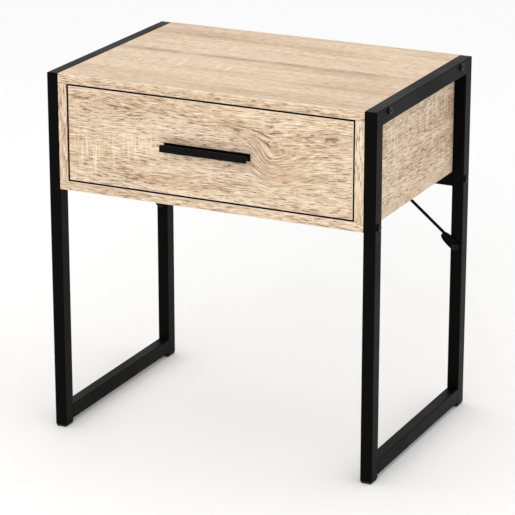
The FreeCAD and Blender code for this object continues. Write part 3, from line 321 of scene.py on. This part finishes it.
def oak(name, axes, seed, dashes=1.0, knots=(), saw=(), swirl=None, end_axes=None):
    """Sawn pale oak laminate.

    axes names the directions along, across and through the grain; end_axes those of the faces
    that look to the front, where they differ. dashes is how strongly the short dashes show.
    """
    g = Graph(name, roughness=0.55, specular=0.3)
    xyz = dict(zip("xyz", g.place()))
    along, across, through = [xyz[axis] for axis in axes]
    if end_axes:
        facing = g.ramp(g.facing_front(), low=0.6, high=0.8)
        dashes = g.ramp(facing, low=0.0, high=1.0, start=dashes, end=1.0)
        along, across, through = [
            g.mix(facing, old, xyz[axis], "FLOAT")
            for old, axis in zip((along, across, through), end_axes)
        ]

    depth = g.plus(through, seed)
    bent, curl = bend_grain(g, along, across, depth, knots, swirl)
    grain = g.vector(along, bent, depth)
    layer = {kind: g.noise(grain, *setting) for kind, setting in OAK_LAYERS.items()}
    ash = g.noise(g.vector(along, bent, g.plus(through, seed + ASH_SEED_SHIFT)), *ASH_LAYER)
    pore_clump = g.ramp(layer["clump"], low=0.3, high=0.6, start=0.75, end=1.0)
    pores = g.times(g.ramp(layer["streak"], PORES.begin, PORES.full), pore_clump)

    color = oak_color(g, layer, pores, ash, curl, dashes)
    if knots:
        color = stain_knots(g, color, along, across, layer["rings"], knots)
    if saw:
        color = saw_wood(g, color, along, across, seed, saw)
    # Painted highlight on the front chamfers, and painted shade in the gaps.
    color = paint_edge_highlight_and_crevice_shade(g, color)
    g.bump(g.minus(g.times(layer["rings"], 0.3), pores), strength=0.25, distance=0.0003)
    return g.finish(color, g.ramp(layer["rings"], low=0.3, high=0.7, start=0.5, end=0.62))


def powder_coat(name, base, roughness, specular, grit=900.0, worn=0.0, painted_shade_reach=0.0):
    """Fine matt coating: an even colour with grit, faint cloudiness and slight handling marks.

    Grooves narrower than the given reach get painted shade, darker towards black, and are duller.
    """
    g = Graph(name, roughness, specular)
    fine = g.even_noise(grit, detail=2, rough=0.6)
    cloud = g.even_noise(9, detail=3, rough=0.5)
    light = linear(*[min(255, c * 1.4 + 3) for c in base])
    color = g.mix(g.ramp(fine, low=0.35, high=0.75, end=0.5), linear(*base), light)
    if worn:
        rub = g.times(g.ramp(cloud, low=0.55, high=0.8), worn)
        color = g.mix(rub, color, linear(90, 88, 86))
    g.bump(fine, strength=0.18, distance=0.00015)
    shine = g.ramp(cloud, low=0.3, high=0.7, start=roughness - 0.05, end=roughness + 0.06)
    if painted_shade_reach:
        # Painted shade: narrow grooves, as in the handle, are darkened towards black; they are also
        # made duller.
        groove_shade_and_dulling = g.ramp(g.open_to_light(painted_shade_reach), low=0.75, high=0.45)
        color = g.mix(groove_shade_and_dulling, color, linear(1, 1, 1))
        shine = g.mix(groove_shade_and_dulling, shine, 1.0, "FLOAT")
    return g.finish(color, shine)


def plated(name):
    """Bright zinc: fine brush lines and slightly blotchy reflections."""
    g = Graph(name, roughness=0.35, specular=0.5, metallic=1.0)
    blotch = g.even_noise(150, detail=3, rough=0.6)
    lines = g.noise(g.vector(*g.place()), scale=(300, 300, 2600))
    color = g.mix(g.ramp(blotch, low=0.3, high=0.7), linear(176, 178, 180), linear(214, 215, 214))
    g.bump(lines, strength=0.15, distance=0.0001)
    return g.finish(color, g.ramp(blotch, low=0.3, high=0.7, start=0.28, end=0.45))


def hardboard(name):
    """Lacquered fibreboard: short felted fibres in every direction."""
    g = Graph(name, roughness=0.6, specular=0.3)
    felt = g.even_noise(420, detail=4, rough=0.7, distortion=0.8)
    cloud = g.even_noise(12, detail=3, rough=0.5)
    color = g.mix(g.ramp(cloud, low=0.3, high=0.7), linear(208, 186, 157), linear(215, 194, 166))
    color = g.mix(g.ramp(felt, low=0.5, high=0.75, end=0.4), color, linear(170, 142, 112))
    g.bump(felt, strength=0.2, distance=0.0003)
    return g.finish(color, g.ramp(felt, low=0.3, high=0.7, start=0.52, end=0.68))


def moulded(name, dark, light, roughness):
    """Moulded plastic with a fine spark-eroded texture."""
    g = Graph(name, roughness, specular=0.4)
    grain = g.even_noise(1500, detail=2, rough=0.6)
    cloud = g.even_noise(60, detail=2, rough=0.5)
    color = g.mix(g.ramp(cloud, low=0.3, high=0.7), linear(*dark), linear(*light))
    g.bump(grain, strength=0.2, distance=0.0001)
    shine = g.ramp(grain, low=0.3, high=0.7, start=roughness - 0.05, end=roughness + 0.08)
    return g.finish(color, shine)


def dress(material, *names):
    """Gives CAD nodes a material, in all their slots."""
    for name in names:
        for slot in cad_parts[name].material_slots:
            slot.material = material
        dressed.add(name)


def both(*parts):
    """The names of a part's left and right nodes."""
    return [f"{side}_{part}" for side in SIDES for part in parts]


def dress_metal():
    """Black coats on the frame, its bolts and the handle, and white ones on the runners."""
    tubes = both("front_leg", "rear_leg", "top_rail", "bottom_rail", "strut")
    dress(powder_coat("powder_black", (4, 4, 4), 0.42, 0.04, worn=0.02), "rear_crossbar", *tubes)
    dress(powder_coat("bolt_black", (5, 5, 6), 0.3, 0.15, grit=600.0, worn=0.03),
          "top_rail_bolts", "front_leg_bolts", "crossbar_bolts", "strut_bolts")
    # The handle gets painted shade in its grooves.
    dress(powder_coat("handle_black", (14, 13, 13), 0.5, 0.04, grit=1400.0, painted_shade_reach=0.015),
          "drawer_handle")
    dress(powder_coat("runner_white", (222, 219, 210), 0.4, 0.45, grit=700.0),
          *both("cabinet_runner", "drawer_runner"))


def dress_boards():
    """Oak with its grain along each board's length, and hardboard where it is thin."""
    dress(oak("oak_top", "xyz", seed=0.0, dashes=0.65, knots=TOP_KNOTS, saw=TOP_SAW,
              end_axes="xzy"), "top_panel")
    dress(oak("oak_bottom", "xyz", seed=3.1, dashes=0.8, end_axes="xzy"), "bottom_panel")
    dress(oak("oak_front", "xzy", seed=5.7, knots=FRONT_KNOTS, saw=FRONT_SAW, swirl=FRONT_SWIRL),
          "drawer_front")
    for side, seed in zip(SIDES, (7.3, 9.9)):
        dress(oak(f"oak_{side}", "yzx", seed, knots=SIDE_KNOTS, saw=SIDE_SAW, end_axes="zxy"),
              f"{side}_side_panel")
        dress(oak(f"oak_drawer_{side}", "yzx", seed + 2, dashes=0.6), f"drawer_{side}_side")
    dress(oak("oak_drawer_back", "xzy", seed=12.4, dashes=0.6), "drawer_back")
    dress(oak("beech", "zxy", seed=14.2, dashes=0.4), "box_dowels")
    dress(hardboard("hardboard"), "back_panel", "drawer_bottom")


def dress_all():
    """One material for each kind of surface; the nodes left over are zinc-plated fittings."""
    dress_metal()
    dress_boards()
    dress(moulded("plug_black", (8, 8, 8), (14, 14, 14), 0.5), *both("front_foot", "rear_foot"))
    dress(moulded("roller_white", (226, 226, 220), (236, 236, 231), 0.35),
          *both("cabinet_roller", "drawer_roller"))
    dress(plated("zinc"), *[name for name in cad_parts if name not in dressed])


def aim(thing, position, target):
    """Puts a lamp at a position and points it at a target."""
    thing.location = position
    direction = [b - a for a, b in zip(position, target)]
    flat = math.hypot(direction[0], direction[1])
    thing.rotation_euler = (
        math.pi / 2 + math.atan2(direction[2], flat), 0,
        math.atan2(direction[1], direction[0]) - math.pi / 2,
    )


def softbox(name, position, size, power):
    """A rectangular lamp that points at the table."""
    lamp = bpy.data.lights.new(name, "AREA")
    lamp.shape = "RECTANGLE"
    lamp.size, lamp.size_y = size
    lamp.energy = power
    holder = bpy.data.objects.new(name, lamp)
    bpy.context.scene.collection.objects.link(holder)
    aim(holder, position, LIT_POINT)


def studio():
    """A pale floor that runs out of sight, a bright room and three softboxes."""
    mesh = bpy.data.meshes.new("floor")
    corners = [(-1, -1), (1, -1), (1, 1), (-1, 1)]
    mesh.from_pydata([(x * FLOOR_REACH, y * FLOOR_REACH, 0) for x, y in corners], [], [(0, 1, 2, 3)])
    floor = bpy.data.objects.new("floor", mesh)
    bpy.context.scene.collection.objects.link(floor)
    g = Graph("floor_white", roughness=0.9, specular=0.1)
    cloud = g.even_noise(0.8, detail=2, rough=0.5)
    mesh.materials.append(g.finish(g.mix(cloud, linear(243, 243, 243), linear(246, 246, 246))))

    world = bpy.data.worlds.new("studio")
    world.use_nodes = True
    background = world.node_tree.nodes["Background"]
    background.inputs["Color"].default_value = (1, 1, 1, 1)
    background.inputs["Strength"].default_value = 1.0
    bpy.context.scene.world = world
    for name, settings in SOFTBOXES.items():
        softbox(name, *settings)


def camera():
    """A long lens in front of the table, to its right and above it."""
    data = bpy.data.cameras.new("camera")
    data.lens = CAMERA_LENS
    data.clip_end = CAMERA_SIGHT
    holder = bpy.data.objects.new("camera", data)
    holder.location = CAMERA_PLACE
    holder.rotation_euler = (math.pi / 2 - CAMERA_TILT, 0, CAMERA_TURN)
    bpy.context.scene.collection.objects.link(holder)
    bpy.context.scene.camera = holder
    bpy.context.scene.view_settings.view_transform = "Standard"


dress_all()
studio()
camera()
